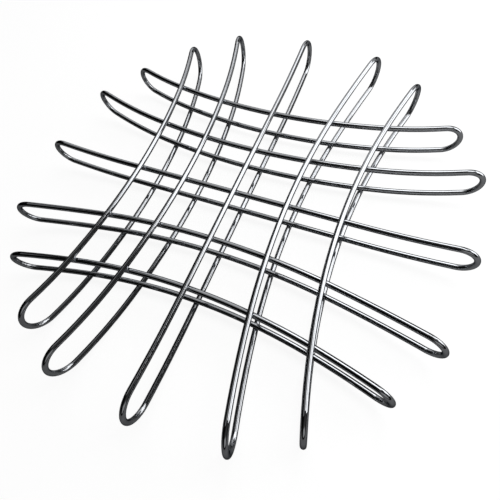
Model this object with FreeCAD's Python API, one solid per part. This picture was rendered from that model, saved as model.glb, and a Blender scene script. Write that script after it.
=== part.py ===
import FreeCAD, Part
import math
import os

# Round wire trivet, in millimetres. Ten closed loops of bright wire stand on edge. Five tall loops run from
# front to back, and five low loops run from left to right through the slots of the tall ones. Every low loop
# lies between the upper and the lower wires of the tall loops, and is welded to both where they cross.
# The origin is on the table under the middle of the trivet, with +Z up, +X to the right and +Y to the back.

# The wire, and how far two crossing wires are pressed into each other by a weld
wire_diameter = 2.5
weld_set_down = 0.15

# The height of a tall loop, over its wires
tall_loop_height = 21.8

# How far the loops beside the middle one stand from it, halfway along their length
inner_loop_offset = 25.7
outer_loop_offset = 50.3

# The radius of the bow, in plan, that carries the tips of these loops outwards
inner_bow_radius = 363.0
outer_bow_radius = 296.0

# Half the length of a loop, along its bow and over the wire at its tip
middle_half_length = 107.0
inner_half_length = 104.1
outer_half_length = 90.9

# The long sides are level over the welded lattice, and from there they rise to the tips on this radius
level_half_length = 58.0
tip_rise_radius = 300.0

# What follows from these sizes
wire_radius = wire_diameter / 2
mid_height = tall_loop_height / 2
tall_turn_radius = mid_height - wire_radius
low_turn_radius = tall_turn_radius - (wire_diameter - weld_set_down)

origin = FreeCAD.Vector(0, 0, 0)
to_the_right = FreeCAD.Vector(1, 0, 0)
to_the_back = FreeCAD.Vector(0, 1, 0)
up = FreeCAD.Vector(0, 0, 1)
half_turn = 180
quarter_turn = 90


def wire_end(place, heading, weld_side):
    """The round cut end of a wire at a place, square to its heading.

    Its outline starts where the wire is welded, so that the seam of its surface runs through its welds.
    """
    end = Part.Face(Part.Wire(Part.makeCircle(wire_radius)))
    end.Placement = FreeCAD.Placement(
        place, FreeCAD.Rotation(weld_side, heading.cross(weld_side), heading, "ZXY"))
    return end


def both_ends(seam, heading, turn_radius, weld_side):
    """The cut ends of a loop at a seam, upper wire first. The weld side given is that of the upper wire."""
    upper_end = wire_end(seam + up * turn_radius, heading, weld_side)
    lower_end = wire_end(seam - up * turn_radius, heading, -weld_side)
    return [upper_end, lower_end]


def straight_wires(turn_radius, weld_side):
    """The level stretch of the two long sides of a middle loop."""
    front = FreeCAD.Vector(0, -level_half_length, mid_height)
    ends = both_ends(front, to_the_back, turn_radius, weld_side)
    return [end.extrude(to_the_back * 2 * level_half_length) for end in ends]


def bowed_wires(offset, bow_radius, turn_radius, weld_side):
    """The level stretch of the two long sides of a bowed loop, bent round an upright axis on its outside."""
    axis_place = FreeCAD.Vector(offset + bow_radius, 0, 0)
    middle = FreeCAD.Vector(offset, 0, mid_height)
    half_angle = math.degrees(level_half_length / bow_radius)
    wires = []
    for end in both_ends(middle, to_the_back, turn_radius, weld_side):
        wire = end.revolve(axis_place, -up, 2 * half_angle)
        wire.rotate(axis_place, up, half_angle)
        wires.append(wire)
    return wires


def tip(seam, heading, bow, half_length, turn_radius, weld_side):
    """The end of a loop beyond its level stretch, with the half turn that joins the two long sides.

    The bow in plan and the rise are one bend round a slanting axis, which the two sides and the half turn
    share. The half turn is formed at the seam and carried to its place by that bend.
    """
    length = half_length - level_half_length - turn_radius - wire_radius
    bend = bow + up / tip_rise_radius
    bend_radius = 1 / bend.Length
    inwards = bend * bend_radius
    axis_place = seam + inwards * bend_radius
    axis = heading.cross(inwards)
    angle = math.degrees(length / bend_radius)
    upper_end, lower_end = both_ends(seam, heading, turn_radius, weld_side)
    turn = upper_end.revolve(seam, up.cross(heading), half_turn)
    turn.rotate(axis_place, axis, angle)
    return [upper_end.revolve(axis_place, axis, angle), lower_end.revolve(axis_place, axis, angle), turn]


def one_wire(level_wires, back_tip):
    """A whole loop: its level stretch, the tip at the back and the same tip at the front, in one length."""
    front_tip = [run.mirror(origin, to_the_back) for run in back_tip]
    runs = level_wires + back_tip + front_tip
    return runs[0].fuse(runs[1:]).removeSplitter().Solids[0]


def middle_loop(turn_radius, weld_side):
    """The straight loop in the middle of a family."""
    seam = FreeCAD.Vector(0, level_half_length, mid_height)
    back_tip = tip(seam, to_the_back, origin, middle_half_length, turn_radius, weld_side)
    return one_wire(straight_wires(turn_radius, weld_side), back_tip)


def bowed_loop(offset, bow_radius, half_length, turn_radius, weld_side):
    """A loop on the right of the middle one, with its tips carried outwards."""
    seam_angle = level_half_length / bow_radius
    heading = FreeCAD.Vector(math.sin(seam_angle), math.cos(seam_angle), 0)
    outwards = FreeCAD.Vector(math.cos(seam_angle), -math.sin(seam_angle), 0)
    seam = FreeCAD.Vector(offset + bow_radius, 0, mid_height) - outwards * bow_radius
    back_tip = tip(seam, heading, outwards / bow_radius, half_length, turn_radius, weld_side)
    return one_wire(bowed_wires(offset, bow_radius, turn_radius, weld_side), back_tip)


def family(turn_radius, weld_side):
    """The five loops of one height, in order from the left. The weld side is that of their upper wires."""
    inner = bowed_loop(inner_loop_offset, inner_bow_radius, inner_half_length, turn_radius, weld_side)
    outer = bowed_loop(outer_loop_offset, outer_bow_radius, outer_half_length, turn_radius, weld_side)
    left_outer = outer.mirror(origin, to_the_right)
    left_inner = inner.mirror(origin, to_the_right)
    return [left_outer, left_inner, middle_loop(turn_radius, weld_side), inner, outer]


def tall_loops():
    """The loops that run from front to back. They stand on the table and carry what is hot."""
    places = ["left_outer", "left_inner", "middle", "right_inner", "right_outer"]
    return {f"tall_loop_{place}": loop for place, loop in zip(places, family(tall_turn_radius, -up))}


def low_loops(tall):
    """The loops that run from left to right, each with a shallow saddle where a tall loop is welded on."""
    places = ["front_outer", "front_inner", "middle", "back_inner", "back_outer"]
    loops = {}
    for place, loop in zip(places, family(low_turn_radius, up)):
        crossing = loop.copy()
        crossing.rotate(origin, up, quarter_turn)
        loops[f"low_loop_{place}"] = crossing.cut(list(tall.values())).removeSplitter().Solids[0]
    return loops


def write_parts(loops):
    """One file for each loop."""
    os.makedirs("parts", exist_ok=True)
    for name, loop in loops.items():
        loop.exportStep(f"parts/{name}.step")


tall = tall_loops()
write_parts(tall)
write_parts(low_loops(tall))
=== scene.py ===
import math
import random

import bpy
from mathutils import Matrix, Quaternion, Vector


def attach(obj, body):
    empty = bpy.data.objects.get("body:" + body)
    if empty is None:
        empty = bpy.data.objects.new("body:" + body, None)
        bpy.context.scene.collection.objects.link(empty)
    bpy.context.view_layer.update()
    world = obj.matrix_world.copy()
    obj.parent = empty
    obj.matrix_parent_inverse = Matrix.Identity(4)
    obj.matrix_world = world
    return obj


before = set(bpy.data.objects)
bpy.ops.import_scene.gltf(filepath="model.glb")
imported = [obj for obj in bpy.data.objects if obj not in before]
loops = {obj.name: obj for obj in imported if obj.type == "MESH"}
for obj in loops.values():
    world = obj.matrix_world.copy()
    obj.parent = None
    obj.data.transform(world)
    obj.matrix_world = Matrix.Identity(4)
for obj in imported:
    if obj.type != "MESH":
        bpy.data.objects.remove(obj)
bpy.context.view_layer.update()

# The tall loops. Five closed loops of 2.5 mm steel wire stand on edge and run from front to back, each cut
# from drawn wire, bent, butt welded and ground flush. The welded trivet is plated with bright nickel and
# chrome. Their upper wires carry the pot and their lower wires rest on the table.
tall_loops = ["tall_loop_left_outer", "tall_loop_left_inner", "tall_loop_middle", "tall_loop_right_inner",
              "tall_loop_right_outer"]


class Shade:
    """A quantity in a material, such as a haze. Sums and products of shades add the nodes they need."""

    def __init__(self, tree, socket=None):
        self.tree = tree
        self.socket = socket

    def node(self, kind, settings, inputs, output=0):
        """Any node: its kind, then its settings, then the values or links of its sockets."""
        made = self.tree.nodes.new(kind)
        for name, value in settings.items():
            setattr(made, name, value)
        for name, value in inputs.items():
            if isinstance(value, Shade):
                self.tree.links.new(value.socket, made.inputs[name])
            else:
                made.inputs[name].default_value = value
        return Shade(self.tree, made.outputs[output] if made.outputs else None)

    def blend(self, first_colour, second_colour):
        """The first colour where this shade is 0, the second where it is 1, and their mix between."""
        factor, first, second, result = 0, 6, 7, 2
        return self.node("ShaderNodeMix", {"data_type": "RGBA"},
                         {factor: self, first: first_colour, second: second_colour}, result)

    def soft_step(self, start, end):
        """0 where this shade is below the start, 1 above the end, and a smooth rise between."""
        return self.node("ShaderNodeMapRange", {"interpolation_type": "SMOOTHSTEP"},
                         {"Value": self, "From Min": start, "From Max": end})

    def combine(self, operation, first, second):
        return self.node("ShaderNodeMath", {"operation": operation}, {0: first, 1: second})

    def __add__(self, other):
        return self.combine("ADD", self, other)

    def __sub__(self, other):
        return self.combine("SUBTRACT", self, other)

    def __rsub__(self, other):
        return self.combine("SUBTRACT", other, self)

    def __mul__(self, other):
        return self.combine("MULTIPLY", self, other)

    __radd__ = __add__
    __rmul__ = __mul__


def empty_material(name):
    """A new material with nothing in it yet, and the shade that adds its nodes."""
    material = bpy.data.materials.new(name)
    material.use_nodes = True
    material.node_tree.nodes.clear()
    return material, Shade(material.node_tree)


def chromed_wire(name, along, haze, streaks):
    """Bright plate on drawn wire. The drawing lines run along the wire, under the nickel and the chrome."""
    material, plate = empty_material(name)
    place = plate.node("ShaderNodeTexCoord", {}, {}, "Object")

    # The lines that the drawing die leaves: fine across the wire and long along it
    fine_across, long_along = 5200.0, 45.0
    stretch = [long_along if axis == along else fine_across for axis in range(3)]
    drawn = plate.node("ShaderNodeMapping", {}, {"Vector": place, "Scale": stretch})
    lines = plate.node("ShaderNodeTexNoise", {}, {"Vector": drawn, "Scale": 1.0, "Detail": 3.0})

    # The slow waves of bright nickel over them, a few millimetres apart
    waves_per_metre, relief_depth = 420.0, 0.00002
    waves = plate.node("ShaderNodeTexNoise", {}, {"Vector": place, "Scale": waves_per_metre, "Detail": 2.0})
    relief = plate.node("ShaderNodeBump", {}, {
        "Height": lines * streaks + waves, "Strength": 1.0, "Distance": relief_depth})

    # Where hands and the polishing wheel left the plate a little cloudy
    clouds_per_metre, clear_below, cloudy_above = 70.0, 0.48, 0.72
    clouds = plate.node("ShaderNodeTexNoise", {}, {
        "Vector": place, "Scale": clouds_per_metre, "Detail": 5.0, "Roughness": 0.6})
    cloudy = clouds.soft_step(clear_below, cloudy_above)

    # Chrome is cooler and warmer by turns and duller in the clouds, and the edges of the wire are darkened
    cool, warm, dull = (0.71, 0.745, 0.79, 1), (0.77, 0.775, 0.79, 1), (0.60, 0.62, 0.65, 1)
    dull_share = 0.25
    colour = (cloudy * dull_share).blend(clouds.blend(cool, warm), dull)
    edge_colour = (0.22, 0.23, 0.25, 1)
    polished, rougher_on_lines = 0.03, 0.02
    metal = plate.node("ShaderNodeBsdfPrincipled", {}, {
        "Base Color": colour, "Metallic": 1.0, "Specular Tint": edge_colour,
        "Roughness": polished + cloudy * haze + lines * rougher_on_lines, "Normal": relief})
    plate.node("ShaderNodeOutputMaterial", {}, {"Surface": metal})
    return material


def dress(node_names, material):
    """Gives the loops of a family their plate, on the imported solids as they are."""
    for node_name in node_names:
        loop = loops[node_name]
        if not loop.material_slots:
            loop.data.materials.append(None)
        for material_slot in loop.material_slots:
            material_slot.material = material
        for face in loop.data.polygons:
            face.use_smooth = True


along_x, along_y = 0, 1
dress(tall_loops, chromed_wire("chrome_on_tall_loops", along_y, haze=0.07, streaks=0.02))

# The low loops. Five loops of the same wire, lower by two wires, are threaded from left to right through the
# slots of the tall ones. They are bent and plated like them, and a little cloudier, since no polishing wheel
# gets between the wires.
low_loops = ["low_loop_front_outer", "low_loop_front_inner", "low_loop_middle", "low_loop_back_inner",
             "low_loop_back_outer"]
dress(low_loops, chromed_wire("chrome_on_low_loops", along_x, haze=0.10, streaks=0.025))

# The weld beads. Where two wires cross, resistance welding presses them together, and a little steel is
# squeezed out round the seat as a collar with a hollow waist. It is left as it is and plated over. There are
# fifty of them, an upper and a lower one at each of the twenty-five crossings.

# The places and bows of the five loops of either family in plan, and the heights of their wires, in metres
wire_radius = 0.00125
loop_offsets = [-0.0503, -0.0257, 0.0, 0.0257, 0.0503]
bow_radii = [0.296, 0.363, None, 0.363, 0.296]
tall_upper, tall_lower = 0.02055, 0.00125
low_upper, low_lower = 0.0182, 0.0036

# How far a bead stands out from the middle of its crossing, at its waist and where it meets the wires
bead_waist, bead_foot = 0.00085, 0.00112
bead_steps, bead_rows = 28, 7


def bowed(offset, bow_radius, along_loop):
    """How far across the trivet a loop's centre line is, at a distance along it, and its slope there."""
    if bow_radius is None:
        return offset, 0.0
    side = math.copysign(1, offset)
    reach = math.sqrt(bow_radius ** 2 - along_loop ** 2)
    return offset + side * (bow_radius - reach), side * along_loop / reach


def crossing(tall_index, low_index):
    """Where a tall and a low loop cross in plan, and the two directions square to their wires."""
    rounds_until_settled = 12
    x, y = loop_offsets[tall_index], loop_offsets[low_index]
    for _ in range(rounds_until_settled):
        x, tall_slope = bowed(loop_offsets[tall_index], bow_radii[tall_index], y)
        y, low_slope = bowed(loop_offsets[low_index], bow_radii[low_index], x)
    across_tall = Vector((1, -tall_slope, 0)).normalized()
    across_low = Vector((-low_slope, 1, 0)).normalized()
    return Vector((x, y, 0)), across_tall, across_low


def add_bead(points, faces, place, upper_wire, lower_wire, dice):
    """One closed collar between two wires. A wire is its height and the direction square to it."""
    leanest, fullest = 0.94, 1.06
    smallest_lump, largest_lump, lump_count, fewest_lobes = 0.01, 0.05, 3, 2
    widest = wire_radius * 0.97
    root_share, root_depth = 0.75, 0.00022
    pole_height = wire_radius * 0.6

    start = len(points)
    fullness = dice.uniform(leanest, fullest)
    lumps = [(dice.uniform(smallest_lump, largest_lump), dice.uniform(0, 2 * math.pi))
             for _ in range(lump_count)]
    upper_height, across_upper = upper_wire
    lower_height, across_lower = lower_wire

    # Rings of points go up from the root in the lower wire, over the collar, to the root in the upper wire
    for row in range(bead_rows + 2):
        rise = min(max(row - 1, 0), bead_rows - 1) / (bead_rows - 1)
        flare = (2 * rise - 1) ** 2
        for step in range(bead_steps):
            angle = 2 * math.pi * step / bead_steps
            lump = sum(size * math.cos((turn + fewest_lobes) * angle + shift)
                       for turn, (size, shift) in enumerate(lumps))
            spread = (bead_waist + (bead_foot - bead_waist) * flare) * fullness * (1 + lump)
            spread = min(spread, widest)
            foot = min(bead_foot * fullness * (1 + lump), widest)
            way = Vector((math.cos(angle), math.sin(angle), 0))
            top = upper_height - math.sqrt(wire_radius ** 2 - (foot * way.dot(across_upper)) ** 2)
            bottom = lower_height + math.sqrt(wire_radius ** 2 - (foot * way.dot(across_lower)) ** 2)
            height = bottom + (top - bottom) * rise
            if row in (0, bead_rows + 1):
                spread *= root_share
                height += root_depth if row else -root_depth
            points.append(place + way * spread + Vector((0, 0, height)))

    # A point inside each wire closes the collar
    bottom_pole, top_pole = len(points), len(points) + 1
    points.append(place + Vector((0, 0, lower_height + pole_height)))
    points.append(place + Vector((0, 0, upper_height - pole_height)))
    last_row = start + (bead_rows + 1) * bead_steps
    for step in range(bead_steps):
        beside = (step + 1) % bead_steps
        faces.append((bottom_pole, start + beside, start + step))
        faces.append((top_pole, last_row + step, last_row + beside))
        for row in range(bead_rows + 1):
            below, above = start + row * bead_steps, start + (row + 1) * bead_steps
            faces.append((below + step, below + beside, above + beside, above + step))


def weld_plate():
    """The same plate over as-welded metal: lumpy, a shade duller than on the drawn wire, with painted shade
    in the hollows of the lumps.
    """
    material, plate = empty_material("chrome_on_welds")
    place = plate.node("ShaderNodeTexCoord", {}, {}, "Object")
    lumps_per_metre, grains_per_metre = 1600.0, 9000.0
    lumps = plate.node("ShaderNodeTexNoise", {}, {"Vector": place, "Scale": lumps_per_metre, "Detail": 3.0})
    grain = plate.node("ShaderNodeTexNoise", {}, {"Vector": place, "Scale": grains_per_metre, "Detail": 2.0})
    grain_share, relief_depth = 0.15, 0.0001
    relief = plate.node("ShaderNodeBump", {}, {
        "Height": lumps + grain * grain_share, "Strength": 1.0, "Distance": relief_depth})
    # The plate as a whole is duller here than on the drawn wire; on top of that, the hollows of the lumps are
    # painted darker than the raised metal, which is painted shade
    painted_shade_hollow_colour, raised_colour = (0.58, 0.58, 0.60, 1), (0.74, 0.73, 0.72, 1)
    edge_colour = (0.6, 0.6, 0.62, 1)
    smoothest, rougher_on_lumps = 0.14, 0.16
    metal = plate.node("ShaderNodeBsdfPrincipled", {}, {
        "Base Color": lumps.blend(painted_shade_hollow_colour, raised_colour),
        "Metallic": 1.0, "Specular Tint": edge_colour,
        "Roughness": smoothest + lumps * rougher_on_lumps, "Normal": relief})
    plate.node("ShaderNodeOutputMaterial", {}, {"Surface": metal})
    return material


weld_finish = weld_plate()
first_seed = 31
for tall_index, tall_name in enumerate(tall_loops):
    dice = random.Random(first_seed + tall_index)
    points, faces = [], []
    for low_index in range(len(low_loops)):
        place, across_tall, across_low = crossing(tall_index, low_index)
        add_bead(points, faces, place, (tall_upper, across_tall), (low_upper, across_low), dice)
        add_bead(points, faces, place, (low_lower, across_low), (tall_lower, across_tall), dice)
    bead_mesh = bpy.data.meshes.new(tall_name.replace("tall_loop", "welds"))
    bead_mesh.from_pydata(points, [], faces)
    bead_mesh.polygons.foreach_set("use_smooth", [True] * len(faces))
    bead_mesh.materials.append(weld_finish)
    beads = bpy.data.objects.new(bead_mesh.name, bead_mesh)
    bpy.context.scene.collection.objects.link(beads)
    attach(beads, "root")

# The paper that the trivet stands on, plain and pale. The camera sees it white, with the soft shadow of the
# wires on it. The bright wire shows it as a dim table: only the softboxes and the room light it, and in the
# tone that the wire sees, a painted shadow makes it darker under the lattice than clear of it.
paper_half_width = 0.9
paper_steps = 24
paper_points = []
paper_faces = []
for row in range(paper_steps + 1):
    for column in range(paper_steps + 1):
        paper_points.append(((2 * column / paper_steps - 1) * paper_half_width,
                             (2 * row / paper_steps - 1) * paper_half_width, 0.0))
for row in range(paper_steps):
    for column in range(paper_steps):
        corner = row * (paper_steps + 1) + column
        paper_faces.append((corner, corner + 1, corner + paper_steps + 2, corner + paper_steps + 1))
paper_mesh = bpy.data.meshes.new("paper")
paper_mesh.from_pydata(paper_points, [], paper_faces)

paper_material, sheet = empty_material("paper")
camera_sees = sheet.node("ShaderNodeLightPath", {}, {}, "Is Camera Ray")
metal_sees = sheet.node("ShaderNodeLightPath", {}, {}, "Is Glossy Ray")
glass_sees = sheet.node("ShaderNodeLightPath", {}, {}, "Is Transmission Ray")
dark_fibre, pale_fibre = (0.40, 0.40, 0.40, 1), (0.44, 0.44, 0.44, 1)
fibres_per_side = 900.0
fibres = sheet.node("ShaderNodeTexNoise", {}, {"Scale": fibres_per_side, "Detail": 4.0})
spot = sheet.node("ShaderNodeTexCoord", {}, {}, "Object")
from_middle = sheet.node("ShaderNodeVectorMath", {"operation": "LENGTH"}, {0: spot}, 1)
# Painted shadow: where the wire sees the paper, its colour is painted darker under the lattice than clear of
# it, over the real shadow that the lamps cast
painted_shadow_under_lattice, clear_of_lattice = (0.18, 0.18, 0.18, 1), (0.44, 0.44, 0.44, 1)
lattice_ends, tips_end = 0.078, 0.105
painted_lattice_shadow_tone = from_middle.soft_step(lattice_ends, tips_end).blend(painted_shadow_under_lattice, clear_of_lattice)
seen_tone = metal_sees.blend(fibres.blend(dark_fibre, pale_fibre), painted_lattice_shadow_tone)
lit_paper = sheet.node("ShaderNodeBsdfDiffuse", {}, {"Color": seen_tone})
white_share = 0.89
white_paper = sheet.node("ShaderNodeEmission", {}, {
    "Color": (1, 1, 1, 1), "Strength": (camera_sees + glass_sees) * white_share})
both = sheet.node("ShaderNodeAddShader", {}, {0: lit_paper, 1: white_paper})
sheet.node("ShaderNodeOutputMaterial", {}, {"Surface": both})
paper_mesh.materials.append(paper_material)
paper = bpy.data.objects.new("paper", paper_mesh)
bpy.context.scene.collection.objects.link(paper)

# The studio. Two softboxes hang half a metre off at the back right, a wide one high up and a tall one low
# down. The rest of the room is dim and has soft patches of grey: a wall, a corner, a ceiling, a dark side and
# a far window. The dark between them draws the dark lines along the bright wire.


def add_softbox(name, azimuth, elevation, distance, width, height, radiance):
    """A plain rectangular softbox that faces the trivet. Azimuth 0 is at the back and 90 on the right."""
    azimuth, elevation = math.radians(azimuth), math.radians(elevation)
    towards = Vector((math.sin(azimuth) * math.cos(elevation), math.cos(azimuth) * math.cos(elevation),
                      math.sin(elevation)))
    softbox = bpy.data.lights.new(name, "AREA")
    softbox.shape = "RECTANGLE"
    softbox.size = width
    softbox.size_y = height
    softbox.energy = math.pi * width * height * radiance
    lamp = bpy.data.objects.new(name, softbox)
    lamp.location = towards * distance
    lamp.rotation_euler = (-towards).to_track_quat("-Z", "Y").to_euler()
    lamp.visible_camera = False
    bpy.context.scene.collection.objects.link(lamp)


add_softbox("wide_softbox", azimuth=30, elevation=55.5, distance=0.55,
            width=0.48, height=0.30, radiance=1.45)
add_softbox("tall_softbox", azimuth=63, elevation=18, distance=0.55,
            width=0.31, height=0.36, radiance=1.55)

room = bpy.data.worlds.new("room")
room.use_nodes = True
room.node_tree.nodes.clear()
air = Shade(room.node_tree)
way_out = air.node("ShaderNodeTexCoord", {}, {}, "Generated")
way_up = air.node("ShaderNodeSeparateXYZ", {}, {0: way_out}, "Z")


def past(plane, softness):
    """1 for the directions well past a plane through the trivet, 0 for those before it, and soft between."""
    distance = air.node("ShaderNodeVectorMath", {"operation": "DOT_PRODUCT"}, {0: way_out, 1: plane}, 1)
    return distance.soft_step(-softness, softness)


def higher_than(elevation, softness):
    """1 for the directions well above an elevation, 0 for those below it, and soft between."""
    edge = math.sin(math.radians(elevation))
    return way_up.soft_step(edge - softness, edge + softness)


def patch(left, right, bottom, top, softness, level):
    """The light of a patch of the room, which lies between two azimuths and two elevations."""
    left, right = math.radians(left), math.radians(right)
    after = past((math.cos(left), -math.sin(left), 0), softness)
    before = past((-math.cos(right), math.sin(right), 0), softness)
    return higher_than(bottom, softness) * (1 - higher_than(top, softness)) * after * before * level


dark_air = 0.002
grey_wall = patch(left=-47, right=3, bottom=2, top=64, softness=0.06, level=0.45)
pale_corner = patch(left=24, right=45, bottom=11, top=40, softness=0.05, level=0.5)
ceiling = patch(left=-116, right=-8, bottom=59, top=80, softness=0.04, level=0.19)
dark_side = patch(left=60, right=178, bottom=29, top=80, softness=0.28, level=0.035)
far_window = patch(left=120, right=172, bottom=8, top=40, softness=0.08, level=0.22)
room_light = dark_air + grey_wall + pale_corner + ceiling + dark_side + far_window
eye_sees = air.node("ShaderNodeLightPath", {}, {}, "Is Camera Ray")
through_glass = air.node("ShaderNodeLightPath", {}, {}, "Is Transmission Ray")
strength = room_light + (eye_sees + through_glass) * (1.0 - room_light)
room_background = air.node("ShaderNodeBackground", {}, {"Color": (1, 1, 1, 1), "Strength": strength})
air.node("ShaderNodeOutputWorld", {}, {"Surface": room_background})
bpy.context.scene.world = room

# The camera. It is held by hand close above the front right of the trivet, so that the near loops look much
# larger than the far ones, and it is turned about its view by some sixteen degrees.
camera_place = Vector((0.06941, -0.09480, 0.17608))
camera_target = Vector((0.015718, -0.02222, 0.0108))
camera_roll = math.radians(-15.82)
lens = bpy.data.cameras.new("camera")
lens.sensor_width = 36.0
lens.lens = 30.4737
lens.clip_start = 0.005
lens.clip_end = 20.0
camera = bpy.data.objects.new("camera", lens)
camera.location = camera_place
camera.rotation_mode = "QUATERNION"
view_turn = (camera_target - camera_place).to_track_quat("-Z", "Y")
camera.rotation_quaternion = view_turn @ Quaternion((0, 0, 1), camera_roll)
bpy.context.scene.collection.objects.link(camera)
bpy.context.scene.camera = camera
bpy.context.scene.view_settings.view_transform = "Standard"
